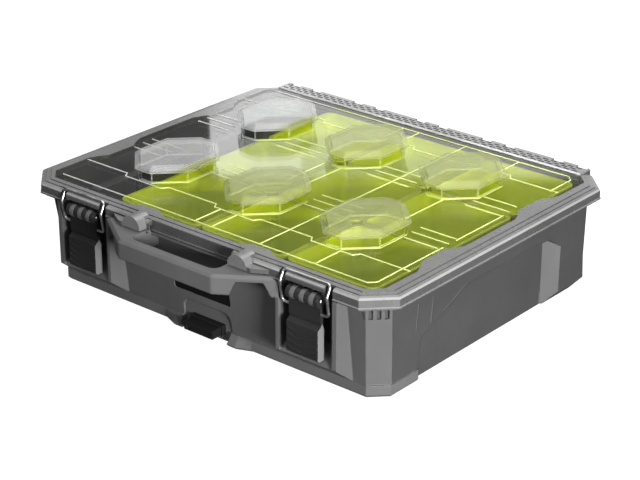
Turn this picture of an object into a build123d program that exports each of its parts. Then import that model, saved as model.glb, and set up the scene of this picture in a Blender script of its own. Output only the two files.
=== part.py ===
from build123d import *
import os

os.makedirs("parts", exist_ok=True)

# ---------------------------------------------------------------------------
# Driving dimensions in millimetres. Positions are written about the centre of
# the lid in plan; y_shift then puts the middle of the whole outline on Y = 0.
# X runs along the front, -Y is the front with the handle, z = 0 is the floor.
# ---------------------------------------------------------------------------
handle_front = -241.0            # front face of the carry handle
hinge_back = 207.5               # rearmost point of the hinge barrels
y_shift = -(handle_front + hinge_back) / 2

# lid
lid_a, lid_b, lid_c = 250.0, 204.0, 28.5      # half width, half depth, corner chamfer
skirt_z, skirt_top = 109.0, 118.6             # lower edge and shoulder of the skirt
skirt_t = 3.0
frame_under = 116.5                           # underside of the rim
lip_in = 0.9                                  # skirt stands this far inside its lower lip
# profile of the rim from the shoulder inward: inset, height
rim_profile = [(lip_in, skirt_top), (2.4, 120.6), (5.8, 121.2), (6.4, 122.2), (11.2, 122.5), (11.8, 123.5)]
win_a, win_b, win_c = 229.5, 186.5, 13.5      # clear window
win_z, win_top = 121.4, 124.0
rib_top, rib_w = 124.8, 0.9
stud_px, stud_py = 132.0, 166.6               # stud pitch
stud_a, stud_b, stud_c = 41.6, 53.8, 30.5     # cap half sizes, chamfer
stud_in = 4.0                                 # column inset under the cap
cap_z, cap_edge, stud_top = 136.8, 139.6, 144.5
stud_wall = 2.6

# case
base_a, base_b, base_c = 230.3, 179.0, 18.0   # base band at the front
base_h, foot_bevel = 14.0, 3.0
low_a, low_b = 229.3, 178.0                   # front wall just over the base band
top_a, top_b, wall_c = 236.6, 189.0, 18.4     # wall under the flange, rear wall at all heights
wall_top = 105.4
flange_a, flange_b, flange_c = 244.5, 198.5, 25.6
flange_z, flange_top = 105.2, 108.0
lip_a, lip_b, lip_c, lip_top = 238.0, 191.5, 20.0, 115.5
floor_z, floor_t = 25.0, 3.0
wall_t = 3.2

# side recesses
rec_x, rec_y0, rec_y1, rec_z = 222.5, -118.0, 108.0, 83.0

# rear hinge
hinge_y, hinge_z, hinge_r, hinge_pin_r = 201.0, 115.0, 6.5, 2.0
hinge_strip_top = 125.8
case_knuckle_x = [-207, -175, -110, -78, -16, 16, 78, 110, 175, 207]
lid_knuckle_x = [-191, -94, 0, 94, 191]
case_knuckle_w, lid_knuckle_w = 12.6, 18.4

# handle
hand_x, hand_end_x, hand_end_y = 65.0, 118.7, -205.2
hand_z0, hand_z1 = 90.0, 111.5
gap_x, gap_y0, gap_y1 = 59.5, -229.5, -187.0

# latches
latch_x = 155.0
piv_y, piv_z = -203.5, 103.5                  # lever pivot
link_y, link_z = -203.0, 89.5                 # bail pivot on the lever
lever_w, barrel_r, pin_r = 40.5, 7.0, 2.0
knuckle_pitch, knuckle_w = 12.2, 5.6
bail_half, wire_r = 29.8, 1.6
roll_y, roll_z, roll_r, roll_w = -200.5, 117.0, 4.5, 49.5
bar_y, bar_z = -200.5, 123.2
post_in, post_w_in, post_w_out = 34.0, 4.5, 6.0

# bins
bin_x0, bin_px, bin_py = -131.0, 116.67, 117.6
bin_gap, bin_top, bin_wall = 1.2, 118.0, 1.8
rim_h, rim_out = 4.0, 2.4

# stack lock
lock_a, lock_z0, lock_z1 = 22.6, 6.4, 18.6
lock_front, lock_back, lock_stop = -193.4, -160.0, -144.0   # front, rear face, spring stop
spring_x, lock_screw_x, lock_screw_y = 12.0, 30.5, (-165.0, -146.5)


def flat(h):
    """Horizontal plane at height h."""
    return Plane(origin=(0, y_shift, h))


def side(x):
    """Plane facing +X; local x runs along Y and local y along Z."""
    return Plane(origin=(x, y_shift, 0), x_dir=(0, 1, 0), z_dir=(1, 0, 0))


def front(y):
    """Plane facing the front; local x runs along X and local y along Z."""
    return Plane(origin=(0, y_shift + y, 0), x_dir=(1, 0, 0), z_dir=(0, -1, 0))


def octo(a, b, c):
    """Rectangle of half sizes a and b with its corners cut off by c."""
    return [(a - c, -b), (a, c - b), (a, b - c), (a - c, b),
            (c - a, b), (-a, b - c), (-a, c - b), (c - a, -b)]


def inset(a, b, c, d):
    return octo(a - d, b - d, c - 0.586 * d)


def plan(af, bf, cf, ar, br, cr):
    """Outline of the case: half sizes and corner cut of the front part, then of the rear part."""
    half = [(af - cf, -bf), (af, cf - bf), (af, 80), (ar, 100), (ar, br - cr), (ar - cr, br)]
    return half + [(-x, y) for x, y in reversed(half)]


def front_wall(d):
    """Plane on the drafted front wall behind the handle, d outside it."""
    return Plane(origin=(0, y_shift - 182.65 - 0.99284 * d, 52.8 - 0.1195 * d), x_dir=(1, 0, 0), z_dir=(0, -0.99284, -0.1195))


# ---------------------------------------------------------------------------
# Forms that are cut from or added to the case
# ---------------------------------------------------------------------------
# side recess: straight front end, slanted rear end, upper corners cut off
with BuildPart() as side_recess:
    with BuildSketch(flat(-1)):
        Polygon((rec_x, rec_y0), (262, rec_y0), (262, rec_y1 + 262 - rec_x), (rec_x, rec_y1))
    extrude(amount=rec_z + 1)
    with BuildSketch(side(210)):
        Polygon((-119, 50), (-119, 90), (-42, 90), (-42, rec_z))
        Polygon((99, rec_z), (99, 90), (170, 90), (170, 36))
    extrude(amount=60, mode=Mode.SUBTRACT)

# wall that backs the recess inside the case
with BuildPart() as recess_wall:
    for z0, z1, a0, a1, r0 in ((0, base_h, 226.6, 228.6, 224.0), (base_h, rec_z + 3, 228.6, 234.0, 235.6)):
        with BuildSketch(flat(z0)):
            Polygon((219.3, -121), (a0, -121), (a0, 60), (r0, r0 - 110), (219.3, 109.3))
        with BuildSketch(flat(z1)):
            Polygon((219.3, -121), (a1, -121), (a1, 60), (235.6, 125.6), (219.3, 109.3))
        loft(ruled=True)

# carry handle: a bar with two raked arms, hollow underneath
with BuildPart() as handle_form:
    with BuildSketch(flat(hand_z0)):
        Polygon((-hand_x, handle_front), (hand_x, handle_front),
                (hand_end_x, hand_end_y), (-hand_end_x, hand_end_y))
    extrude(amount=hand_z1 - hand_z0)
    fillet(handle_form.edges().filter_by(Axis.Z).group_by(Axis.Y)[0], radius=7)
    chamfer(handle_form.edges().group_by(Axis.Z)[-1].sort_by(Axis.Y)[:-1], length=3)
    fillet(handle_form.edges().group_by(Axis.Z)[0].sort_by(Axis.Y)[:-1], radius=2)
    with BuildSketch(flat(hand_z0)):
        Polygon((-hand_end_x, hand_end_y), (hand_end_x, hand_end_y), (121, -203.6),
                (121, -184), (-121, -184), (-121, -203.6))
    extrude(amount=flange_top - hand_z0)
    with BuildSketch(flat(hand_z0 - 1)):
        with Locations((0, (gap_y0 - 180) / 2)):
            Rectangle(2 * gap_x, -180 - gap_y0)
    extrude(amount=40, mode=Mode.SUBTRACT)
    fillet(handle_form.edges().filter_by(Axis.Z).filter_by_position(Axis.Y, gap_y0 + y_shift - 0.1, gap_y0 + y_shift + 0.1), radius=10)
    for sx in (-1, 1):
        with BuildSketch(flat(hand_z0 - 1)):
            Polygon((sx * 63.5, -235.4), (sx * 114.5, -201.4), (sx * 114.5, -184), (sx * 63.5, -184))
        extrude(amount=16, mode=Mode.SUBTRACT)
        arm = Plane(origin=(sx * hand_x, y_shift + handle_front, 0),
                    x_dir=(0.832, sx * 0.5547, 0), z_dir=(sx * 0.5547, -0.832, 0))
        with BuildSketch(arm):
            Polygon((sx * 15.5, 86), (sx * 24, 105.5), (sx * 52, 105.5), (sx * 62, 86))
        extrude(amount=9, both=True, mode=Mode.SUBTRACT)

# latch pocket: two side walls that stand proud of the front and a sloping floor
post = [(-172, 14), (-180, 14.5), (-204, 34), (-204, flange_top), (-180, flange_top)]
shelf = [(-176, 14), (-180, 14.5), (-202.6, 32.9), (-186, 51), (-176, 51)]

# ---------------------------------------------------------------------------
# Case
# ---------------------------------------------------------------------------
with BuildPart() as case_body:
    with BuildSketch(flat(0)):
        Polygon(*plan(base_a - 2.8, base_b - 2.8, 17.0, 224.6, 177.0, 15.0))
    with BuildSketch(flat(foot_bevel)):
        Polygon(*plan(base_a, base_b, base_c, 227.2, 179.6, 16.0))
    loft(ruled=True)
    with BuildSketch(flat(foot_bevel)):
        Polygon(*plan(base_a, base_b, base_c, 227.2, 179.6, 16.0))
    with BuildSketch(flat(base_h)):
        Polygon(*plan(base_a, base_b, base_c, top_a, top_b, wall_c))
    loft(ruled=True)
    with BuildSketch(flat(base_h)):
        Polygon(*plan(low_a, low_b, base_c, top_a, top_b, wall_c))
    with BuildSketch(flat(wall_top)):
        Polygon(*plan(top_a, top_b, wall_c, top_a, top_b, wall_c))
    loft(ruled=True)
    # flange under the lid and the upstand inside it
    with BuildSketch(flat(flange_z)):
        Polygon(*octo(flange_a, flange_b, flange_c))
    extrude(amount=flange_top - flange_z)
    with BuildSketch(flat(flange_top)):
        Polygon(*octo(lip_a, lip_b, lip_c))
    extrude(amount=lip_top - flange_top)
    # front of the latch pockets: the flange stops short of the latch
    with BuildSketch(flat(flange_z - 1)):
        with Locations((-latch_x, -200), (latch_x, -200)):
            Rectangle(2 * post_in, 19)
    extrude(amount=8, mode=Mode.SUBTRACT)
    for sx in (-1, 1):
        for x0, w in ((latch_x - post_in - post_w_in, post_w_in), (latch_x + post_in, post_w_out)):
            with BuildSketch(side(x0 if sx > 0 else -x0 - w)):
                Polygon(*post)
            extrude(amount=w)
        with BuildSketch(side(latch_x - post_in if sx > 0 else -latch_x - post_in)):
            Polygon(*shelf)
        extrude(amount=2 * post_in)
    add(handle_form.part)
    # bosses beside the stack lock
    boss = [(-174, 0), (-183.4, 0), (-186, 3), (-180, 14), (-174, 14)]
    boss_end = [(-174, 0), (-176.6, 0), (-179.2, 3), (-179.1, 14), (-174, 14)]
    for sx in (-1, 1):
        for xa, xb, end in ((33, 44, boss), (44, 61, boss_end)):
            with BuildSketch(side(sx * xa)):
                Polygon(*boss)
            with BuildSketch(side(sx * xb)):
                Polygon(*end)
            loft(ruled=True)
    # short upright ribs on the side walls
    for sx in (-1, 1):
        for y in (-127.0, -103.0):
            with BuildSketch(front(y)):
                Polygon((sx * 231.5, 62), (sx * 234.1, 62), (sx * 236.5, 92), (sx * 233.5, 92))
            extrude(amount=1.4)
    # interior
    with BuildSketch(flat(floor_z)):
        Polygon(*plan(227.0, 176.2, 17.0, 233.4, 185.8, 20.5))
    with BuildSketch(flat(lip_top + 0.5)):
        Polygon(*plan(234.3, 187.4, 18.0, 234.3, 187.4, 20.5))
    loft(ruled=True, mode=Mode.SUBTRACT)
    # hollow underside that takes the studs of a case below
    with BuildSketch(flat(-1)):
        Polygon((205.5, -173.6), (219, -160.1), (219, 156.5), (205.5, 170),
                (-205.5, 170), (-219, 156.5), (-219, -160.1), (-205.5, -173.6))
    extrude(amount=floor_z - floor_t + 1, mode=Mode.SUBTRACT)
    with BuildSketch(flat(6.4)):
        with GridLocations(stud_px, stud_py, 3, 2):
            Polygon(*octo(stud_a + 4, stud_b + 4, stud_c + 1.6))
            Polygon(*octo(stud_a + 2, stud_b + 2, stud_c + 0.8), mode=Mode.SUBTRACT)
    extrude(amount=floor_z - floor_t - 5.9)
    # low kerb that keeps the bins out of the open bay
    with BuildSketch(flat(floor_z - 1)):
        with Locations((bin_x0 - 1.6, 0)):
            Rectangle(2.4, 344)
    extrude(amount=13)
    # side recesses
    add(recess_wall.part)
    mirror(recess_wall.part, about=Plane.YZ)
    add(side_recess.part, mode=Mode.SUBTRACT)
    mirror(side_recess.part, about=Plane.YZ, mode=Mode.SUBTRACT)
    # slots under the lid on the corner columns
    for sx in (-1, 1):
        for sy in (-1, 1):
            with BuildSketch(Plane(origin=(sx * 226.9, y_shift + sy * 179.0, 97.8),
                                   x_dir=(-sy * 0.7071, sx * 0.7071, 0), z_dir=(sx * 0.7071, sy * 0.7071, 0))):
                with GridLocations(8, 1, 3, 1):
                    Rectangle(4.0, 13.4)
            extrude(amount=2.7, both=True, mode=Mode.SUBTRACT)
    # thin slanting beads on the side walls
    for sx in (-1, 1):
        with BuildSketch(Plane(origin=(sx * 233.45, y_shift - 84, 66.5), x_dir=(0, sx, 0), z_dir=(sx * 0.99682, 0, -0.07964))):
            Polygon((0, 0), (sx * 38, 17.5), (sx * 37, 18.6), (sx * -1, 1.1))
        extrude(amount=0.7, both=True)
    # pocket in the front wall behind the handle
    with BuildSketch(front_wall(1.0)):
        with Locations((-4, 0)):
            RectangleRounded(79, 17.4, 3)
    extrude(amount=-2.6, mode=Mode.SUBTRACT)
    # stack lock: scoop, backing, passage, guide rails and screw bosses
    with BuildSketch(front(-178)):
        with Locations((0, 30.5)):
            Rectangle(76, 17)
    extrude(amount=-4.6)
    with BuildSketch(front(-195)):
        with Locations((0, 16)):
            RectangleRounded(68, 38, 11)
    extrude(amount=-18.5, mode=Mode.SUBTRACT)
    with BuildSketch(front(-190)):
        with Locations((0, 12.5)):
            RectangleRounded(46, 13, 1.5)
    extrude(amount=-20, mode=Mode.SUBTRACT)
    with BuildSketch(flat(6)):
        for x in (-24.9, 24.9):
            with Locations((x, -158)):
                Rectangle(3, 32)
        with Locations((0, lock_stop + 1.5)):
            Rectangle(52.8, 3)
        for y in lock_screw_y:
            with Locations((-lock_screw_x, y), (lock_screw_x, y)):
                Circle(3.4)
    extrude(amount=floor_z - floor_t - 5.5)
    with BuildSketch(flat(5)):
        for y in lock_screw_y:
            with Locations((-lock_screw_x, y), (lock_screw_x, y)):
                Circle(1.3)
    extrude(amount=12, mode=Mode.SUBTRACT)
    # latch knuckles
    for sx in (-1, 1):
        for k in (-1, 0, 1):
            with BuildSketch(side(sx * latch_x + k * knuckle_pitch - knuckle_w / 2)):
                with Locations((piv_y, piv_z)):
                    Circle(barrel_r)
                Polygon((piv_y + 4, piv_z - 5.6), (-198, 98.6), (-186, 91), (-186, 108), (-196, 108), (piv_y + 2, piv_z + 6.6))
                with Locations((piv_y, piv_z)):
                    Circle(pin_r + 0.02, mode=Mode.SUBTRACT)
            extrude(amount=knuckle_w)
    # hinge knuckles
    for x in case_knuckle_x:
        with BuildSketch(side(x - case_knuckle_w / 2)):
            with Locations((hinge_y, hinge_z)):
                Circle(hinge_r)
            Polygon((hinge_y + hinge_r, hinge_z), (hinge_y - 3.5, hinge_z), (hinge_y - 6, flange_top - 2),
                    (hinge_y - 6, flange_z), (hinge_y - 2, flange_z), (hinge_y + hinge_r, 110))
            with Locations((hinge_y, hinge_z)):
                Circle(hinge_pin_r + 0.02, mode=Mode.SUBTRACT)
        extrude(amount=case_knuckle_w)

# ---------------------------------------------------------------------------
# Lid
# ---------------------------------------------------------------------------
# outline of the clear window: the rim swells inward beside the outer studs
# and behind the two front lugs
def window_outline(d):
    a, b, c = win_a - d, win_b - d, win_c - 0.586 * d
    pts = [(a - c, -b), (a, c - b)]
    for y in (-83.3, 83.3):
        pts += [(a, y - 40), (a - 5, y - 28), (a - 11, y - 19), (a - 11, y + 19), (a - 5, y + 28), (a, y + 40)]
    pts += [(a, b - c), (a - c, b), (c - a, b), (-a, b - c)]
    for y in (83.3, -83.3):
        pts += [(-a, y + 40), (5 - a, y + 28), (11 - a, y + 19), (11 - a, y - 19), (5 - a, y - 28), (-a, y - 40)]
    pts += [(-a, c - b), (c - a, -b)]
    for x in (-77, 77):
        pts += [(x - 26, -b), (x - 19, 3 - b), (x - 12, 8 - b), (x + 12, 8 - b), (x + 19, 3 - b), (x + 26, -b)]
    return pts


with BuildPart() as lid_frame:
    with BuildSketch(flat(skirt_z)):
        Polygon(*octo(lid_a, lid_b, lid_c))
    extrude(amount=1.2)
    rows = [(0, skirt_z + 1.2), (lip_in, skirt_z + 2.0)] + rim_profile
    for (d0, z0), (d1, z1) in zip(rows, rows[1:]):
        with BuildSketch(flat(z0)):
            Polygon(*inset(lid_a, lid_b, lid_c, d0))
        with BuildSketch(flat(z1)):
            Polygon(*inset(lid_a, lid_b, lid_c, d1))
        loft(ruled=True)
    # underside and window opening
    with BuildSketch(flat(skirt_z)):
        Polygon(*inset(lid_a, lid_b, lid_c, skirt_t))
    extrude(amount=frame_under - skirt_z, mode=Mode.SUBTRACT)
    with BuildSketch(flat(frame_under - 1)):
        Polygon(*window_outline(0))
    extrude(amount=12, mode=Mode.SUBTRACT)
    with BuildSketch(flat(frame_under - 1)):
        Polygon(*octo(225.5, 184.0, 14.0))
    extrude(amount=119.6 - frame_under + 1, mode=Mode.SUBTRACT)
    # notches for the latches
    with BuildSketch(flat(skirt_z - 1)):
        with Locations((-latch_x, -203), (latch_x, -203)):
            Rectangle(2 * post_in, 11)
    extrude(amount=20, mode=Mode.SUBTRACT)
    # front edge set back over the hand opening of the handle
    with BuildSketch(flat(skirt_z - 1)):
        with Locations((0, -206)):
            Rectangle(2 * gap_x - 4, 16)
    extrude(amount=18, mode=Mode.SUBTRACT)
    with BuildSketch(side(-gap_x)):
        with BuildLine():
            l2 = Polyline((-195.6, 122.0), (-195.2, 120.0), (-195.2, skirt_z), (-198, skirt_z), (-198, 119.4))
            ThreePointArc(l2 @ 1, (-197.3, 121.3), l2 @ 0)
        make_face()
    extrude(amount=2 * gap_x)
    # catch rolls
    for sx in (-1, 1):
        with BuildSketch(side(sx * latch_x - roll_w / 2)):
            with Locations((roll_y, roll_z)):
                Circle(roll_r)
            Polygon((roll_y, roll_z - roll_r), (-195, frame_under - 1.6), (-195, 120.6), (roll_y, roll_z + roll_r - 0.6))
        extrude(amount=roll_w)
    # ears and lugs over the ends of the handle
    for sx in (-1, 1):
        with BuildSketch(flat(112.3)):
            Polygon((sx * 62, -200), (sx * 62, -213), (sx * 92, -213), (sx * 108, -204), (sx * 108, -200))
        extrude(amount=4.5)
    for x in (-74, 74):
        with BuildSketch(front(-213)):
            with BuildLine():
                l1 = Polyline((x - 12.5, 115), (x - 12.5, 112.3), (x + 12.5, 112.3), (x + 12.5, 115))
                ThreePointArc(l1 @ 1, (x, 126.2), l1 @ 0)
            make_face()
        extrude(amount=-19)
    # raised strip along the hinge
    with BuildSketch(front(187.0)):
        Polygon((-222, 118), (216, 118), (216, 124.2), (214, hinge_strip_top), (-220, hinge_strip_top), (-222, 124.2))
    extrude(amount=-19.5)
    # hinge: notches for the case barrels, then the lid barrels between them
    for x in case_knuckle_x:
        with BuildSketch(side(x - case_knuckle_w / 2 - 0.5)):
            with Locations((hinge_y, hinge_z)):
                Circle(hinge_r + 0.7)
            Polygon((hinge_y - 7.2, 100), (hinge_y + 9, 100), (hinge_y + 9, 126), (hinge_y + 1, 126), (hinge_y - 7.2, hinge_z))
        extrude(amount=case_knuckle_w + 1, mode=Mode.SUBTRACT)
    for x in lid_knuckle_x:
        with BuildSketch(side(x - lid_knuckle_w / 2)):
            with Locations((hinge_y, hinge_z)):
                Circle(hinge_r)
            Polygon((hinge_y, hinge_z + hinge_r), (hinge_y - 8, hinge_z + hinge_r), (hinge_y - 8, frame_under), (hinge_y - 5.5, hinge_z - 2))
        extrude(amount=lid_knuckle_w)
        with BuildSketch(side(x - lid_knuckle_w / 2)):
            with Locations((hinge_y, hinge_z)):
                Circle(hinge_pin_r + 0.06)
        extrude(amount=lid_knuckle_w, mode=Mode.SUBTRACT)
    # three rows of small pockets along the hinge strip
    with BuildSketch(flat(hinge_strip_top - 1.4)):
        for y, n in ((190.0, 39), (194.6, 38), (199.2, 39)):
            with Locations((-3, y)):
                with GridLocations(11, 1, n, 1):
                    Rectangle(7.4, 2.4)
    extrude(amount=4, mode=Mode.SUBTRACT)

with BuildPart() as lid_window:
    with BuildSketch(flat(win_z)):
        Polygon(*window_outline(0))
    extrude(amount=win_top - win_z)
    # stacking studs: hollow column under a wider bevelled cap
    with BuildSketch(flat(win_top)):
        with GridLocations(stud_px, stud_py, 3, 2):
            Polygon(*inset(stud_a, stud_b, stud_c, stud_in))
    extrude(amount=cap_z - win_top)
    with BuildSketch(flat(cap_z)):
        with GridLocations(stud_px, stud_py, 3, 2):
            Polygon(*octo(stud_a, stud_b, stud_c))
    extrude(amount=cap_edge - cap_z)
    for px in (-stud_px, 0, stud_px):
        for py in (-stud_py / 2, stud_py / 2):
            with BuildSketch(flat(cap_edge)):
                with Locations((px, py)):
                    Polygon(*octo(stud_a, stud_b, stud_c))
            with BuildSketch(flat(stud_top)):
                with Locations((px, py)):
                    Polygon(*inset(stud_a, stud_b, stud_c, 6.0))
            loft(ruled=True)
    with BuildSketch(flat(win_z)):
        with GridLocations(stud_px, stud_py, 3, 2):
            Polygon(*inset(stud_a, stud_b, stud_c, stud_in + stud_wall))
    extrude(amount=stud_top - 2.6 - win_z, mode=Mode.SUBTRACT)
    # stiffening ribs on the outer face
    with BuildSketch(flat(win_top)):
        for y in (-175.6, 174.5):
            with Locations((-3, y)):
                Rectangle(2 * 212, rib_w)
        for y, w in ((0, 82), (-116, 105), (147, 40)):
            with Locations((216.0, y)):
                Rectangle(rib_w, w)
        for y in (-172.2, 170.5):
            with Locations(Location((212.6, y, 0), (0, 0, 45 if y < 0 else -45))):
                Rectangle(9.6, rib_w)
        with Locations((71.0, 0)):
            Rectangle(rib_w, 352)
        for x in (-18.3, 5.0, 143.3):
            for y, w in ((0, 66.5), (-154.8, 38), (154.8, 38)):
                with Locations((x, y)):
                    Rectangle(rib_w, w)
        for s in (-1, 1):
            for y in (38.5, 53, 69):
                for x, w in ((-66, 56), (66, 56), (-192, 46 if y < 60 else 42), (192, 46 if y < 60 else 42)):
                    with Locations((x, s * y)):
                        Rectangle(w, rib_w)
            for x, w in ((-66, 68), (66, 68), (-194, 62), (194, 62)):
                with Locations((x, s * 129)):
                    Rectangle(w, rib_w)
            for x in (-132, 0, 132):
                with Locations((x, s * 136)):
                    Rectangle(54, rib_w)
                for k in (-1, 1):
                    with Locations(Location((x + k * 29.2, s * 132.5, 0), (0, 0, -k * s * 58))):
                        Rectangle(9.4, rib_w)
    extrude(amount=rib_top - win_top)

# ---------------------------------------------------------------------------
# Plain plate set into the front wall
# ---------------------------------------------------------------------------
with BuildPart() as front_plate:
    with BuildSketch(front_wall(-0.6)):
        with Locations((-4, 0)):
            RectangleRounded(78.7, 17.1, 2.85)
    extrude(amount=-0.96)

# ---------------------------------------------------------------------------
# Hinge pins
# ---------------------------------------------------------------------------
with BuildPart() as hinge_pins:
    for x in lid_knuckle_x:
        with BuildSketch(side(x - 22)):
            with Locations((hinge_y, hinge_z)):
                Circle(hinge_pin_r)
        extrude(amount=44)

# ---------------------------------------------------------------------------
# Bins
# ---------------------------------------------------------------------------
bin_names = []
bin_parts = []
for j, row in enumerate(("front", "middle", "rear")):
    for i, col in enumerate(("left", "centre", "right")):
        cx = bin_x0 + (i + 0.5) * bin_px
        cy = (j - 1) * bin_py
        w, d = bin_px - bin_gap, bin_py - bin_gap
        with BuildPart() as one_bin:
            with BuildSketch(flat(floor_z + 0.1)):
                with Locations((cx, cy)):
                    RectangleRounded(w - 13, d - 13, 9)
            with BuildSketch(flat(bin_top - rim_h)):
                with Locations((cx, cy)):
                    RectangleRounded(w - 2 * rim_out, d - 2 * rim_out, 10)
            loft(ruled=True)
            with BuildSketch(flat(bin_top - rim_h)):
                with Locations((cx, cy)):
                    RectangleRounded(w, d, 11)
            extrude(amount=rim_h)
            with BuildSketch(flat(floor_z + 2.1)):
                with Locations((cx, cy)):
                    RectangleRounded(w - 13 - 2 * bin_wall, d - 13 - 2 * bin_wall, 8)
            with BuildSketch(flat(bin_top + 0.2)):
                with Locations((cx, cy)):
                    RectangleRounded(w - 2 * rim_out - 2 * bin_wall + 0.5, d - 2 * rim_out - 2 * bin_wall + 0.5, 9)
            loft(ruled=True, mode=Mode.SUBTRACT)
        bin_names.append(f"bin_{row}_{col}")
        bin_parts.append(one_bin.part)

# ---------------------------------------------------------------------------
# Latches
# ---------------------------------------------------------------------------
# lever seen from its end: barrel, flat upper plate, groove, thick grip
lever_profile = [(-200.4, 97.2), (-204.8, 97.2), (-204.8, 79.6), (-203.4, 78.4), (-203.4, 76.4),
                 (-208.5, 72.6), (-208.5, 40.4), (-206.5, 38.4), (-199.0, 38.4), (-199.0, 72.0), (-200.4, 76.0)]


def make_lever(cx):
    with BuildPart() as lever:
        with BuildSketch(side(cx - lever_w / 2)):
            Polygon(*lever_profile)
            with Locations((piv_y, piv_z)):
                Circle(barrel_r)
            Polygon((piv_y - 1.3, 97.0), (piv_y - 6.0, piv_z - 3), (piv_y + 6.0, piv_z - 3), (-200.4, 97.0))
        extrude(amount=lever_w)
        # gaps for the case knuckles
        for k in (-1, 0, 1):
            with BuildSketch(side(cx + k * knuckle_pitch - knuckle_w / 2 - 0.4)):
                with Locations((piv_y, piv_z)):
                    Circle(barrel_r + 0.6)
            extrude(amount=knuckle_w + 0.8, mode=Mode.SUBTRACT)
        # bores for the pivot pin and for the ends of the bail
        with BuildSketch(side(cx - lever_w / 2)):
            with Locations((piv_y, piv_z)):
                Circle(pin_r + 0.06)
        extrude(amount=lever_w, mode=Mode.SUBTRACT)
        for x0 in (cx - lever_w / 2, cx + lever_w / 2 - 7):
            with BuildSketch(side(x0)):
                with Locations((link_y, link_z)):
                    Circle(wire_r + 0.08)
            extrude(amount=7, mode=Mode.SUBTRACT)
        # curved finger ridges on the grip
        with BuildSketch(front(-208.5)):
            for zr in (66.0, 59.0, 52.0, 45.0):
                with BuildLine():
                    arc1 = ThreePointArc((cx - 19, zr + 1.6), (cx, zr - 1.4), (cx + 19, zr + 1.6))
                    arc2 = ThreePointArc((cx - 19, zr - 0.4), (cx, zr - 3.4), (cx + 19, zr - 0.4))
                    Line(arc1 @ 0, arc2 @ 0)
                    Line(arc1 @ 1, arc2 @ 1)
                make_face()
        extrude(amount=0.6)
    return lever


def make_bail(cx):
    with BuildPart() as bail:
        with BuildLine():
            y0 = y_shift
            path = FilletPolyline((cx - 14.6, y0 + link_y, link_z), (cx - bail_half, y0 + link_y, link_z),
                                  (cx - bail_half, y0 - 206.6, 111.5), (cx - bail_half, y0 + bar_y, bar_z),
                                  (cx + bail_half, y0 + bar_y, bar_z), (cx + bail_half, y0 - 206.6, 111.5),
                                  (cx + bail_half, y0 + link_y, link_z), (cx + 14.6, y0 + link_y, link_z),
                                  radius=4.0)
        with BuildSketch(Plane(origin=path @ 0, z_dir=path % 0)):
            Circle(wire_r)
        sweep(path=path.wire() if hasattr(path, "wire") else path)
    return bail


def make_pin(cx):
    with BuildPart() as pin:
        with BuildSketch(side(cx - lever_w / 2 - 0.6)):
            with Locations((piv_y, piv_z)):
                Circle(pin_r)
        extrude(amount=lever_w + 1.2)
        chamfer(pin.edges().filter_by(GeomType.CIRCLE), length=0.4)
    return pin


left_lever, left_bail, left_pin = make_lever(-latch_x), make_bail(-latch_x), make_pin(-latch_x)
right_lever, right_bail, right_pin = make_lever(latch_x), make_bail(latch_x), make_pin(latch_x)

# ---------------------------------------------------------------------------
# Stack lock
# ---------------------------------------------------------------------------
with BuildPart() as lock_slide:
    with BuildSketch(front(lock_back)):
        with Locations((0, (lock_z0 + lock_z1) / 2)):
            RectangleRounded(2 * lock_a, lock_z1 - lock_z0, 1.2)
    extrude(amount=lock_back - (-181.0))
    with BuildSketch(front(-181)):
        with Locations((0, (lock_z0 + 16.2) / 2)):
            RectangleRounded(2 * 20.6, 16.2 - lock_z0, 1.2)
    extrude(amount=-181.0 - lock_front)
    # finger hollow in the front and the catch underneath
    with BuildSketch(front(lock_front)):
        with Locations((0, 11.2)):
            RectangleRounded(34, 5.4, 1.2)
    extrude(amount=-0.8, mode=Mode.SUBTRACT)
    with BuildSketch(side(-12)):
        Polygon((-172, lock_z0 + 0.5), (-172, 1.2), (-169.6, 1.2), (-168, 3.4), (-168, lock_z0 + 0.5))
    extrude(amount=24)
    # seats for the springs
    with BuildSketch(front(lock_back)):
        with Locations((-spring_x, 12.5), (spring_x, 12.5)):
            Circle(5.4)
    extrude(amount=2.0, mode=Mode.SUBTRACT)

spring_r, spring_wire, spring_pitch = 4.2, 0.6, 2.9
spring_y0 = lock_back - 2.0 + spring_wire + 0.3
spring_y1 = lock_stop - spring_wire - 0.3


def make_spring(x):
    with BuildPart() as spring:
        with BuildLine():
            coil = Helix(spring_pitch, spring_y1 - spring_y0, spring_r,
                         center=(x, y_shift + spring_y0, 12.5), direction=(0, 1, 0))
        with BuildSketch(Plane(origin=coil @ 0, z_dir=coil % 0)):
            Circle(spring_wire)
        sweep(path=coil, is_frenet=True)
    return spring


lock_spring_left, lock_spring_right = make_spring(-spring_x), make_spring(spring_x)

with BuildPart() as lock_cover:
    with BuildSketch(flat(3.4)):
        with Locations((0, -156)):
            RectangleRounded(70, 28, 3)
        with Locations((0, -166)):
            Rectangle(28, 14, mode=Mode.SUBTRACT)
        for y in lock_screw_y:
            with Locations((-lock_screw_x, y), (lock_screw_x, y)):
                Circle(1.5, mode=Mode.SUBTRACT)
    extrude(amount=2.5)

with BuildPart() as lock_screws:
    for x in (-lock_screw_x, lock_screw_x):
        for y in lock_screw_y:
            with BuildSketch(flat(1.4)):
                with Locations((x, y)):
                    Circle(2.9)
            extrude(amount=2.0)
            with BuildSketch(flat(3.4)):
                with Locations((x, y)):
                    Circle(1.25)
            extrude(amount=11)
            with BuildSketch(flat(1.4)):
                with Locations((x, y)):
                    Rectangle(3.4, 0.8)
                    Rectangle(0.8, 3.4)
            extrude(amount=0.9, mode=Mode.SUBTRACT)

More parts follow.
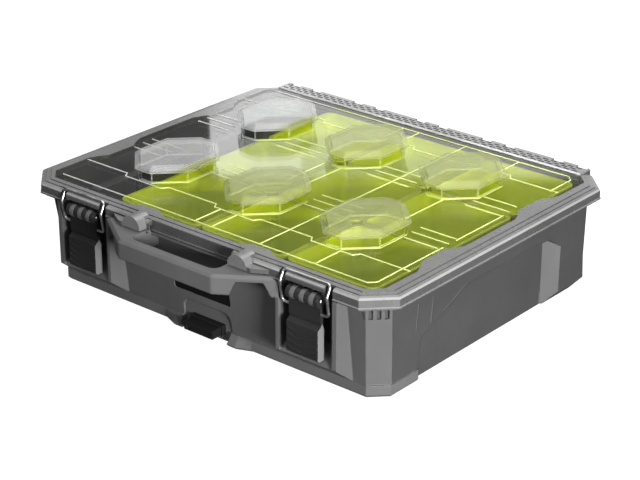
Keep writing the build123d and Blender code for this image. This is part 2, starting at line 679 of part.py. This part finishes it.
# ---------------------------------------------------------------------------
# One file per piece
# ---------------------------------------------------------------------------
pieces = {
    "case_body": case_body.part, "lid_frame": lid_frame.part, "lid_window": lid_window.part,
    "front_plate": front_plate.part, "hinge_pins": hinge_pins.part,
    "left_latch_lever": left_lever.part, "left_latch_bail": left_bail.part, "left_latch_pin": left_pin.part,
    "right_latch_lever": right_lever.part, "right_latch_bail": right_bail.part, "right_latch_pin": right_pin.part,
    "lock_slide": lock_slide.part, "lock_spring_left": lock_spring_left.part,
    "lock_spring_right": lock_spring_right.part, "lock_cover": lock_cover.part, "lock_screws": lock_screws.part,
}
for name, solid in zip(bin_names, bin_parts):
    pieces[name] = solid
for name, solid in pieces.items():
    solid.label = name
    export_step(solid, f"parts/{name}.step")
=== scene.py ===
import bpy, math
from mathutils import Matrix, Vector


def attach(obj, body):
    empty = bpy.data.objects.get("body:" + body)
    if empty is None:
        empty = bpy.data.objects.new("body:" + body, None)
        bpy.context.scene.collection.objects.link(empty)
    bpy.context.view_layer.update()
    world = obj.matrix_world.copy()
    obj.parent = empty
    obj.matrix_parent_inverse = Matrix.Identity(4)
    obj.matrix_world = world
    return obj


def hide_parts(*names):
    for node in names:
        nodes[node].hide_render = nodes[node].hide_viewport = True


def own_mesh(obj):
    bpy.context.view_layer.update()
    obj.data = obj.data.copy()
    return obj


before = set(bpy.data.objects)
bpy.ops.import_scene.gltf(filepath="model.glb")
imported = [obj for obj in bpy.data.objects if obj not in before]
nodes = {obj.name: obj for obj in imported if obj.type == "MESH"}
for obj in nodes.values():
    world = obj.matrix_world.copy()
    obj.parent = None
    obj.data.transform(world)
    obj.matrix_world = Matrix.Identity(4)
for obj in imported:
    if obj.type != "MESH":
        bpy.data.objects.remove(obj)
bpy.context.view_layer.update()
scene = bpy.context.scene


# ---------------------------------------------------------------- materials
def new_material(name):
    m = bpy.data.materials.new(name)
    m.use_nodes = True
    nt = m.node_tree
    nt.nodes.clear()
    out = nt.nodes.new("ShaderNodeOutputMaterial")
    p = nt.nodes.new("ShaderNodeBsdfPrincipled")
    nt.links.new(p.outputs["BSDF"], out.inputs["Surface"])
    return m, nt, p, out


def node(nt, kind, **values):
    n = nt.nodes.new(kind)
    for k, v in values.items():
        setattr(n, k, v)
    return n


def object_coords(nt):
    return node(nt, "ShaderNodeTexCoord").outputs["Object"]


def noise(nt, scale, detail=2.0, rough=0.5, stretch=None):
    src = object_coords(nt)
    if stretch is not None:
        mp = node(nt, "ShaderNodeMapping")
        mp.inputs["Scale"].default_value = stretch
        nt.links.new(src, mp.inputs["Vector"])
        src = mp.outputs["Vector"]
    n = node(nt, "ShaderNodeTexNoise")
    n.inputs["Scale"].default_value = scale
    n.inputs["Detail"].default_value = detail
    n.inputs["Roughness"].default_value = rough
    nt.links.new(src, n.inputs["Vector"])
    return n.outputs["Fac"]


def ramp(nt, fac, stops):
    r = node(nt, "ShaderNodeValToRGB")
    e = r.color_ramp.elements
    while len(e) > 1:
        e.remove(e[-1])
    e[0].position, e[0].color = stops[0][0], (*stops[0][1], 1)
    for pos, col in stops[1:]:
        x = e.new(pos)
        x.color = (*col, 1)
    nt.links.new(fac, r.inputs["Fac"])
    return r.outputs["Color"]


def span(nt, fac, lo, hi, a=0.3, b=0.7):
    m = node(nt, "ShaderNodeMapRange")
    m.inputs["From Min"].default_value, m.inputs["From Max"].default_value = a, b
    m.inputs["To Min"].default_value, m.inputs["To Max"].default_value = lo, hi
    nt.links.new(fac, m.inputs["Value"])
    return m.outputs["Result"]


def grain(nt, p, fine, strength, depth, edge=0.0):
    """Moulded grain as bump, on top of softly rounded edges."""
    b = node(nt, "ShaderNodeBump")
    b.inputs["Strength"].default_value = strength
    b.inputs["Distance"].default_value = depth
    nt.links.new(fine, b.inputs["Height"])
    if edge > 0:
        v = node(nt, "ShaderNodeBevel", samples=4)
        v.inputs["Radius"].default_value = edge
        nt.links.new(v.outputs["Normal"], b.inputs["Normal"])
    nt.links.new(b.outputs["Normal"], p.inputs["Normal"])


def shade(c, k):
    return tuple(min(1.0, v * k) for v in c)


def normal_part(nt, axis):
    """Size of one component of the face normal, 0 to 1."""
    geo = node(nt, "ShaderNodeNewGeometry")
    tf = node(nt, "ShaderNodeVectorTransform", vector_type="NORMAL", convert_from="WORLD", convert_to="OBJECT")
    sep = node(nt, "ShaderNodeSeparateXYZ")
    size = node(nt, "ShaderNodeMath", operation="ABSOLUTE")
    nt.links.new(geo.outputs["True Normal"], tf.inputs["Vector"])
    nt.links.new(tf.outputs["Vector"], sep.inputs["Vector"])
    nt.links.new(sep.outputs[axis], size.inputs[0])
    return size.outputs[0]


def times(nt, *facs):
    out = facs[0]
    for f in facs[1:]:
        m = node(nt, "ShaderNodeMath", operation="MULTIPLY")
        nt.links.new(out, m.inputs[0])
        nt.links.new(f, m.inputs[1])
        out = m.outputs[0]
    return out


def blend(nt, fac, a, b):
    m = node(nt, "ShaderNodeMix", data_type="RGBA")
    nt.links.new(fac, m.inputs["Factor"])
    nt.links.new(a, m.inputs["A"])
    nt.links.new(b, m.inputs["B"])
    return m.outputs["Result"]


def moulded(name, colour, rough, vary=0.10, grain_scale=1400.0, grain_strength=0.25, grain_depth=0.00012,
            edge=0.0008, coat=0.0, spec=0.5, zone=None, zone_colour=None, zone_rough=0.0):
    m, nt, p, out = new_material(name)
    big = noise(nt, 14.0, 4.0, 0.6)

    def mottled(c):
        return ramp(nt, big, [(0.30, shade(c, 1 - vary)), (0.52, c), (0.72, shade(c, 1 + vary))])

    tone = mottled(colour)
    p.inputs["Specular IOR Level"].default_value = spec
    dull = span(nt, noise(nt, 60.0, 3.0, 0.6), rough - 0.06, rough + 0.06)
    if zone is not None:
        share = zone(nt)
        tone = blend(nt, share, tone, mottled(zone_colour))
        more = node(nt, "ShaderNodeMath", operation="ADD")
        nt.links.new(dull, more.inputs[0])
        nt.links.new(span(nt, share, 0.0, zone_rough, 0.0, 1.0), more.inputs[1])
        dull = more.outputs[0]
    nt.links.new(tone, p.inputs["Base Color"])
    nt.links.new(dull, p.inputs["Roughness"])
    grain(nt, p, noise(nt, grain_scale, 1.0, 0.5), grain_strength, grain_depth, edge)
    p.inputs["Coat Weight"].default_value = coat
    p.inputs["Coat Roughness"].default_value = 0.2
    return m


def place(nt, axis, positive=True):
    """One coordinate of the place on the object, as a distance from the middle plane if not positive."""
    sep = node(nt, "ShaderNodeSeparateXYZ")
    nt.links.new(object_coords(nt), sep.inputs["Vector"])
    if positive:
        return sep.outputs[axis]
    size = node(nt, "ShaderNodeMath", operation="ABSOLUTE")
    nt.links.new(sep.outputs[axis], size.inputs[0])
    return size.outputs[0]


def shaded_wall_panels(nt):
    """Painted shade: a darker, rougher zone on the large side, front and rear wall panels over the base band, the
    undercut bevel, the foot of the side recesses and inside the corner-column slots.
    """
    sides = times(nt, span(nt, normal_part(nt, "X"), 0.0, 1.0, 0.90, 0.96), span(nt, place(nt, "X", False), 0.0, 1.0, 0.2150, 0.2155))
    ends = times(nt, span(nt, normal_part(nt, "Y"), 0.0, 1.0, 0.90, 0.96), span(nt, place(nt, "Y"), 0.0, 1.0, -0.1760, -0.1755),
                 span(nt, place(nt, "X", False), 0.25, 0.0, 0.2215, 0.2220))
    both = node(nt, "ShaderNodeMath", operation="MAXIMUM")
    nt.links.new(sides, both.inputs[0])
    nt.links.new(ends, both.inputs[1])
    walls = times(nt, both.outputs[0], span(nt, place(nt, "Z"), 0.0, 1.0, 0.0140, 0.0150))
    # painted shade on the undercut bevel low on the rear half
    low = times(nt, span(nt, normal_part(nt, "Z"), 0.0, 1.0, 0.3, 0.4), span(nt, place(nt, "Z"), 1.0, 0.0, 0.0140, 0.0150),
                span(nt, place(nt, "Y"), 0.0, 1.0, 0.09, 0.12))
    # painted shade at the foot of the side recesses
    foot = times(nt, span(nt, place(nt, "X", False), 0.0, 1.0, 0.2100, 0.2105), span(nt, place(nt, "Z"), 1.0, 0.0, 0.0150, 0.0160),
                 span(nt, place(nt, "Y"), 0.0, 1.0, -0.0990, -0.0980), span(nt, place(nt, "Y"), 1.0, 0.0, 0.1222, 0.1230))
    dark = node(nt, "ShaderNodeMath", operation="MAXIMUM")
    nt.links.new(low, dark.inputs[0])
    nt.links.new(foot, dark.inputs[1])
    out = node(nt, "ShaderNodeMath", operation="MAXIMUM")
    nt.links.new(walls, out.inputs[0])
    nt.links.new(dark.outputs[0], out.inputs[1])
    # painted shade inside the small slots on the corner columns
    off = node(nt, "ShaderNodeMath", operation="SUBTRACT")
    off.inputs[1].default_value = 0.01675
    nt.links.new(place(nt, "Y"), off.inputs[0])
    size = node(nt, "ShaderNodeMath", operation="ABSOLUTE")
    nt.links.new(off.outputs[0], size.inputs[0])
    corner = node(nt, "ShaderNodeMath", operation="ADD")
    nt.links.new(place(nt, "X", False), corner.inputs[0])
    nt.links.new(size.outputs[0], corner.inputs[1])
    slots = times(nt, span(nt, corner.outputs[0], 1.0, 0.0, 0.4040, 0.4046), span(nt, corner.outputs[0], 0.0, 1.0, 0.4012, 0.4016),
                  span(nt, place(nt, "Z"), 0.0, 1.0, 0.0909, 0.0911), span(nt, place(nt, "Z"), 1.0, 0.0, 0.1046, 0.1049))
    both = node(nt, "ShaderNodeMath", operation="MAXIMUM")
    nt.links.new(out.outputs[0], both.inputs[0])
    nt.links.new(slots, both.inputs[1])
    return both.outputs[0]


def lit_grip_flanks(nt):
    """End faces of the thick grip of each latch lever, painted light grey as a painted highlight."""
    off = node(nt, "ShaderNodeMath", operation="SUBTRACT")
    off.inputs[1].default_value = 0.155
    nt.links.new(place(nt, "X", False), off.inputs[0])
    size = node(nt, "ShaderNodeMath", operation="ABSOLUTE")
    nt.links.new(off.outputs[0], size.inputs[0])
    return times(nt, span(nt, normal_part(nt, "X"), 0.0, 1.0, 0.90, 0.97), span(nt, place(nt, "Z"), 1.0, 0.0, 0.0765, 0.0785),
                 span(nt, size.outputs[0], 0.0, 1.0, 0.0196, 0.0199))


# case: the darker zone colour on the wall panels is painted shade; the zone's extra roughness is a real grain
case_mat = moulded("case_plastic_look", (0.072, 0.072, 0.0725), 0.44, edge=0.0016, spec=0.26,
                   zone=shaded_wall_panels, zone_colour=(0.034, 0.034, 0.0344), zone_rough=0.22)
black_mat = moulded("black_plastic_look", (0.008, 0.008, 0.0085), 0.42, vary=0.18, grain_strength=0.2, spec=0.10)
# painted shade: the front plate in the slot under the handle is nearly black and matte, darker than the black plastic,
# standing in for the slot's shade
shade_plate_mat = moulded("shade_plate_look", (0.004, 0.004, 0.0042), 0.60, vary=0.18, grain_strength=0.2, spec=0.05)
# painted highlight: the grip flanks of the black levers get a light grey zone colour
lever_mat = moulded("latch_plastic_look", (0.0145, 0.0145, 0.015), 0.42, vary=0.18, grain_strength=0.2, spec=0.12,
                    zone=lit_grip_flanks, zone_colour=(0.11, 0.11, 0.11))


def shaded_bin_rims(nt):
    """Flat tops of the rims, painted darker; the thin walls below are painted brighter, standing in for the light they
    pass.
    """
    return times(nt, span(nt, normal_part(nt, "Z"), 0.0, 1.0, 0.80, 0.95), span(nt, place(nt, "Z"), 0.0, 1.0, 0.1165, 0.1170))


bin_mat = moulded("bin_plastic_look", (0.53, 0.59, 0.013), 0.45, vary=0.04, grain_strength=0.06, edge=0.0010, spec=0.14,
                  zone=shaded_bin_rims, zone_colour=(0.25, 0.285, 0.009))


def steel(name, colour, rough, stretch):
    m, nt, p, out = new_material(name)
    streak = noise(nt, 300.0, 3.0, 0.6, stretch)
    nt.links.new(ramp(nt, streak, [(0.3, shade(colour, 0.8)), (0.55, colour), (0.8, shade(colour, 1.12))]),
                 p.inputs["Base Color"])
    nt.links.new(span(nt, streak, rough - 0.07, rough + 0.1), p.inputs["Roughness"])
    p.inputs["Metallic"].default_value = 1.0
    return m


wire_mat = steel("wire_look", (0.37, 0.37, 0.375), 0.32, (0.3, 1.0, 1.0))
steel_mat = steel("zinc_look", (0.56, 0.57, 0.58), 0.34, (1.0, 1.0, 1.0))


def edge_mask(nt, radius, amount, sharp=0.945, dull=0.995):
    """Near 1 along moulded edges, 0 on flat faces."""
    bev = node(nt, "ShaderNodeBevel", samples=6)
    bev.inputs["Radius"].default_value = radius
    geo = node(nt, "ShaderNodeNewGeometry")
    dot = node(nt, "ShaderNodeVectorMath", operation="DOT_PRODUCT")
    nt.links.new(bev.outputs["Normal"], dot.inputs[0])
    nt.links.new(geo.outputs["Normal"], dot.inputs[1])
    return span(nt, dot.outputs["Value"], amount, 0.0, sharp, dull)


def smoky(name):
    """Rim of the lid: smoky translucent plastic, shaded as opaque, with painted shade on upright faces and the step
    lines and painted highlights on the lugs, lip, skirt bevel and hinge strip.
    """
    m, nt, p, out = new_material(name)
    big = noise(nt, 18.0, 3.0, 0.55)
    c = (0.120, 0.119, 0.118)
    # painted shade: upright faces of the rim are painted darker than its flat tops, the straightest ones darkest
    straight = node(nt, "ShaderNodeMath", operation="MAXIMUM")
    nt.links.new(normal_part(nt, "X"), straight.inputs[0])
    nt.links.new(normal_part(nt, "Y"), straight.inputs[1])
    shaded_upright = blend(nt, span(nt, straight.outputs[0], 0.0, 1.0, 0.80, 0.92),
                    ramp(nt, big, [(0.3, shade(c, 0.62)), (0.55, shade(c, 0.7)), (0.75, shade(c, 0.78))]),
                    ramp(nt, big, [(0.3, shade(c, 0.35)), (0.55, shade(c, 0.4)), (0.75, shade(c, 0.45))]))
    tone = blend(nt, span(nt, normal_part(nt, "Z"), 0.0, 1.0, 0.2, 0.8), shaded_upright,
                 ramp(nt, big, [(0.3, shade(c, 0.9)), (0.55, c), (0.75, shade(c, 1.1))]))
    # painted highlight: the thick lugs at the front and the thin lip under the skirt are painted lighter than the other
    # upright faces
    lugs = times(nt, span(nt, place(nt, "Y"), 1.0, 0.0, -0.1850, -0.1840), span(nt, place(nt, "X", False), 0.0, 1.0, 0.0600, 0.0605),
                 span(nt, place(nt, "X", False), 1.0, 0.0, 0.0872, 0.0876))
    lip = times(nt, span(nt, place(nt, "Z"), 1.0, 0.0, 0.1110, 0.1113), span(nt, place(nt, "Z"), 0.0, 1.0, 0.1096, 0.1099))
    lit_lugs_and_lip = node(nt, "ShaderNodeMath", operation="MAXIMUM")
    nt.links.new(lugs, lit_lugs_and_lip.inputs[0])
    nt.links.new(lip, lit_lugs_and_lip.inputs[1])
    tone = blend(nt, lit_lugs_and_lip.outputs[0], tone, ramp(nt, big, [(0.3, (0.095, 0.095, 0.094)), (0.7, (0.120, 0.120, 0.118))]))
    # painted highlight on the bevel over the skirt, painted shade as dark lines at the two steps
    steep = span(nt, normal_part(nt, "Z"), 1.0, 0.0, 0.80, 0.90)
    tube = times(nt, span(nt, place(nt, "X", False), 1.0, 0.0, 0.0592, 0.0597), span(nt, place(nt, "Y"), 1.0, 0.0, -0.1780, -0.1775))
    plain = times(nt, span(nt, lugs, 1.0, 0.0, 0.0, 1.0), span(nt, tube, 1.0, 0.0, 0.0, 1.0))
    ahead = span(nt, place(nt, "Y"), 1.0, 0.0, 0.2015, 0.2025)

    def level(lo, hi):
        return times(nt, span(nt, place(nt, "Z"), 0.0, 1.0, lo - 0.0001, lo), span(nt, place(nt, "Z"), 1.0, 0.0, hi, hi + 0.0001))

    lit_bevel = times(nt, level(0.11865, 0.12055), plain, ahead, span(nt, normal_part(nt, "Z"), 0.0, 1.0, 0.45, 0.55))
    tone = blend(nt, lit_bevel, tone, ramp(nt, big, [(0.3, shade(c, 1.45)), (0.7, shade(c, 1.65))]))
    shaded_risers = node(nt, "ShaderNodeMath", operation="MAXIMUM")
    nt.links.new(level(0.1212, 0.1222), shaded_risers.inputs[0])
    nt.links.new(level(0.1225, 0.1235), shaded_risers.inputs[1])
    tone = blend(nt, times(nt, shaded_risers.outputs[0], steep, plain, ahead), tone,
                 ramp(nt, big, [(0.3, shade(c, 0.30)), (0.7, shade(c, 0.40))]))
    # painted highlight: the top of the hinge strip at the rear is painted lighter
    lit_strip = times(nt, span(nt, place(nt, "Y"), 0.0, 1.0, 0.2030, 0.2035), span(nt, normal_part(nt, "Z"), 0.0, 1.0, 0.7, 0.9),
                  span(nt, place(nt, "Z"), 0.0, 1.0, 0.1250, 0.1255))
    tone = blend(nt, lit_strip, tone, ramp(nt, big, [(0.3, shade(c, 1.15)), (0.7, shade(c, 1.4))]))
    # front face of the hinge strip catches the light that passes through the window
    face = times(nt, span(nt, normal_part(nt, "Y"), 0.0, 1.0, 0.80, 0.92), span(nt, place(nt, "Y"), 0.0, 1.0, 0.2025, 0.2030),
                 span(nt, place(nt, "Y"), 1.0, 0.0, 0.2050, 0.2055), span(nt, place(nt, "Z"), 0.0, 1.0, 0.1236, 0.1240))
    tone = blend(nt, face, tone, ramp(nt, big, [(0.3, (0.42, 0.42, 0.42)), (0.7, (0.50, 0.50, 0.50))]))
    nt.links.new(tone, p.inputs["Base Color"])
    nt.links.new(span(nt, noise(nt, 90.0, 3.0, 0.6), 0.25, 0.31), p.inputs["Roughness"])
    return m


rim_mat = smoky("lid_rim_look")


def clear(name):
    """Window of the lid: clear plastic with frosted caps on the studs, painted highlights on edges and ribs, and a
    painted lime tint from the bins under it.
    """
    m, nt, p, out = new_material(name)
    # frosted share: stud caps, which are frosted; rib tops and every moulded edge, a painted highlight
    sep = node(nt, "ShaderNodeSeparateXYZ")
    nt.links.new(object_coords(nt), sep.inputs["Vector"])

    def band(lo, hi, amount):
        g = node(nt, "ShaderNodeMath", operation="GREATER_THAN")
        g.inputs[1].default_value = lo
        l = node(nt, "ShaderNodeMath", operation="LESS_THAN")
        l.inputs[1].default_value = hi
        x = node(nt, "ShaderNodeMath", operation="MULTIPLY")
        y = node(nt, "ShaderNodeMath", operation="MULTIPLY")
        y.inputs[1].default_value = amount
        nt.links.new(sep.outputs["Z"], g.inputs[0])
        nt.links.new(sep.outputs["Z"], l.inputs[0])
        nt.links.new(g.outputs[0], x.inputs[0])
        nt.links.new(l.outputs[0], x.inputs[1])
        nt.links.new(x.outputs[0], y.inputs[0])
        return y.outputs[0]

    def most(u, v):
        x = node(nt, "ShaderNodeMath", operation="MAXIMUM")
        nt.links.new(u, x.inputs[0])
        nt.links.new(v, x.inputs[1])
        return x.outputs[0]

    caps = band(0.13660, 0.15, 1.0)
    bare = span(nt, caps, 1.0, 0.35, 0.0, 1.0)
    proud = span(nt, sep.outputs["Z"], 0.0, 1.0, 0.12415, 0.12435)
    edge = times(nt, edge_mask(nt, 0.0009, 0.60), bare, proud)
    veil = node(nt, "ShaderNodeMath", operation="MULTIPLY_ADD")
    veil.inputs[1].default_value, veil.inputs[2].default_value = 0.32, 0.004
    nt.links.new(caps, veil.inputs[0])
    frost_and_highlight = most(most(edge, band(0.12406, 0.12500, 0.52)), veil.outputs[0])
    # painted light: ribs, edges and caps are tinted lime by position over the bins, standing in for the bins' light
    # seen through them
    lift = node(nt, "ShaderNodeMath", operation="MULTIPLY_ADD")
    lift.inputs[1].default_value, lift.inputs[2].default_value = -1.43, 1.43 * 0.124
    nt.links.new(sep.outputs["Z"], lift.inputs[0])
    under = node(nt, "ShaderNodeMath", operation="ADD")
    nt.links.new(sep.outputs["X"], under.inputs[0])
    nt.links.new(lift.outputs[0], under.inputs[1])
    painted_bin_light = span(nt, under.outputs[0], 0.0, 1.0, -0.128, -0.118)
    haze = noise(nt, 30.0, 3.0, 0.55)
    lines = blend(nt, painted_bin_light, ramp(nt, haze, [(0.3, (0.68, 0.68, 0.67)), (0.7, (0.72, 0.72, 0.71))]),
                  ramp(nt, haze, [(0.3, (0.70, 0.765, 0.28)), (0.7, (0.76, 0.825, 0.32))]))
    tops = blend(nt, painted_bin_light, ramp(nt, haze, [(0.3, (0.38, 0.38, 0.38)), (0.7, (0.42, 0.42, 0.42))]),
                 ramp(nt, haze, [(0.3, (0.245, 0.262, 0.100)), (0.7, (0.275, 0.292, 0.120))]))
    nt.links.new(blend(nt, caps, lines, tops), p.inputs["Base Color"])
    nt.links.new(span(nt, noise(nt, 120.0, 3.0, 0.6), 0.25, 0.40), p.inputs["Roughness"])
    # clear share: a polished film over what lies under it
    facing = node(nt, "ShaderNodeLayerWeight")
    facing.inputs["Blend"].default_value = 0.5
    power = node(nt, "ShaderNodeMath", operation="POWER")
    power.inputs[1].default_value = 5.0
    nt.links.new(facing.outputs["Facing"], power.inputs[0])
    fres = times(nt, span(nt, power.outputs[0], 0.04, 1.0, 0.0, 1.0), span(nt, caps, 1.0, 0.18, 0.0, 1.0))
    see = node(nt, "ShaderNodeBsdfTransparent")
    see.inputs["Color"].default_value = (0.955, 0.965, 0.96, 1)
    gloss = node(nt, "ShaderNodeBsdfGlossy")
    nt.links.new(span(nt, caps, 0.05, 0.42, 0.0, 1.0), gloss.inputs["Roughness"])
    film = node(nt, "ShaderNodeMixShader")
    nt.links.new(fres, film.inputs["Fac"])
    nt.links.new(see.outputs["BSDF"], film.inputs[1])
    nt.links.new(gloss.outputs["BSDF"], film.inputs[2])
    mix = node(nt, "ShaderNodeMixShader")
    nt.links.new(frost_and_highlight, mix.inputs["Fac"])
    nt.links.new(film.outputs["Shader"], mix.inputs[1])
    nt.links.new(p.outputs["BSDF"], mix.inputs[2])
    nt.links.new(mix.outputs["Shader"], out.inputs["Surface"])
    return m


window_mat = clear("lid_window_look")

looks = {"case_body": case_mat, "lid_frame": rim_mat, "lid_window": window_mat, "hinge_pins": steel_mat, "front_plate": shade_plate_mat,
         "left_latch_lever": lever_mat, "right_latch_lever": lever_mat, "left_latch_bail": wire_mat,
         "right_latch_bail": wire_mat, "left_latch_pin": steel_mat, "right_latch_pin": steel_mat,
         "lock_slide": black_mat, "lock_spring_left": steel_mat, "lock_spring_right": steel_mat,
         "lock_cover": case_mat, "lock_screws": steel_mat}
for name, obj in nodes.items():
    mat = looks.get(name, bin_mat)
    obj.data.materials.clear()
    obj.data.materials.append(mat)

# ---------------------------------------------------------------- lock springs, as copies attached to the case body
for name, x in (("lock_spring_left", -0.012), ("lock_spring_right", 0.012)):
    coil = bpy.data.objects.new(name + "_coil", nodes[name].data.copy())
    scene.collection.objects.link(coil)
    coil.matrix_world = nodes[name].matrix_world.copy()
    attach(coil, "case")
    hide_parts(name)
    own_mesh(coil)

# ---------------------------------------------------------------- floor
bpy.ops.mesh.primitive_plane_add(size=14.0, location=(0, 2.0, -0.0005))
floor = bpy.context.object
floor.name = "floor"
fm, fnt, fp, fo = new_material("floor_look")
fnt.links.new(ramp(fnt, noise(fnt, 0.8, 2.0, 0.5), [(0.3, (0.16, 0.16, 0.16)), (0.7, (0.18, 0.18, 0.18))]), fp.inputs["Base Color"])
fp.inputs["Emission Color"].default_value = (1, 1, 1, 1)
fp.inputs["Emission Strength"].default_value = 0.93
fp.inputs["Roughness"].default_value = 0.9
fp.inputs["Specular IOR Level"].default_value = 0.1
floor.data.materials.append(fm)
floor.visible_glossy = False
floor.visible_diffuse = False

# ---------------------------------------------------------------- camera
az, el, roll = math.radians(40.0159), math.radians(24.2117), math.radians(0.153)
target = Vector((-0.025763, 0.033860 + 0.01675, 0.028728))
back = Vector((math.sin(az) * math.cos(el), -math.cos(az) * math.cos(el), math.sin(el)))
right = Vector((math.cos(az), math.sin(az), 0))
up = back.cross(right)
r2 = math.cos(roll) * right + math.sin(roll) * up
u2 = -math.sin(roll) * right + math.cos(roll) * up
cam_data = bpy.data.cameras.new("camera")
cam = bpy.data.objects.new("camera", cam_data)
scene.collection.objects.link(cam)
cam_data.sensor_fit = "HORIZONTAL"
cam_data.sensor_width = 36.0
cam_data.lens = 36.0 * 1895.468 / 640.0
pos = target + back * 2.137577
cam.matrix_world = Matrix(((r2.x, u2.x, back.x, pos.x), (r2.y, u2.y, back.y, pos.y), (r2.z, u2.z, back.z, pos.z), (0, 0, 0, 1)))
cam_data.clip_end = 100
scene.camera = cam

# ---------------------------------------------------------------- light
world = bpy.data.worlds.new("world")
scene.world = world
world.use_nodes = True
world.node_tree.nodes["Background"].inputs["Color"].default_value = (1, 1, 1, 1)
world.node_tree.nodes["Background"].inputs["Strength"].default_value = 0.17


def softbox(name, place, aim, size, size_y, power):
    d = bpy.data.lights.new(name, "AREA")
    d.shape = "RECTANGLE"
    d.size, d.size_y, d.energy = size, size_y, power
    o = bpy.data.objects.new(name, d)
    scene.collection.objects.link(o)
    o.location = place
    o.rotation_euler = (Vector(aim) - Vector(place)).to_track_quat("-Z", "Y").to_euler()
    return o


softbox("key_right", (2.7, -1.5, 1.5), (0, 0, 0.05), 1.2, 1.2, 16)
# low light to the right of the camera that catches the bevelled corners
softbox("low_front", (1.5, -0.75, 0.33), (0.05, 0, 0.06), 0.5, 0.3, 68)
softbox("top", (-0.1, 0.2, 2.6), (0, 0, 0.1), 3.4, 3.4, 150)
# round beam from above the camera on the rear half of the lid
beam_data = bpy.data.lights.new("rear_beam", "SPOT")
beam_data.energy, beam_data.spot_size, beam_data.spot_blend, beam_data.shadow_soft_size = 190, math.radians(21), 1.0, 0.12
beam = bpy.data.objects.new("rear_beam", beam_data)
scene.collection.objects.link(beam)
beam.location = (0.8, -0.9, 1.9)
beam.rotation_euler = (Vector((-0.14, 0.45, 0.1)) - beam.location).to_track_quat("-Z", "Y").to_euler()
# low narrow beam into the front wall between the handle and the right latch
fill_data = bpy.data.lights.new("front_beam", "SPOT")
fill_data.energy, fill_data.spot_size, fill_data.spot_blend, fill_data.shadow_soft_size = 26, math.radians(10), 1.0, 0.10
fill = bpy.data.objects.new("front_beam", fill_data)
scene.collection.objects.link(fill)
fill.location = (-0.25, -1.3, 0.20)
fill.rotation_euler = (Vector((0.095, -0.175, 0.050)) - fill.location).to_track_quat("-Z", "Y").to_euler()
# card behind the case, mirrored in the rear half of the lid
away = Vector((-math.sin(az), math.cos(az), 0))
for name, along, wide, watts in (("back_card_left", -0.10, 0.16, 0.74), ("back_card_middle", 0.05, 0.14, 0.39),
                                ("back_card", 0.425, 0.61, 1.38)):
    card = away * 1.2 + right * along
    softbox(name, (card.x, card.y, 0.305), (card.x - away.x, card.y - away.y, 0.305), wide, 0.61, watts)

scene.view_settings.view_transform = "Standard"
scene.view_settings.look = "None"
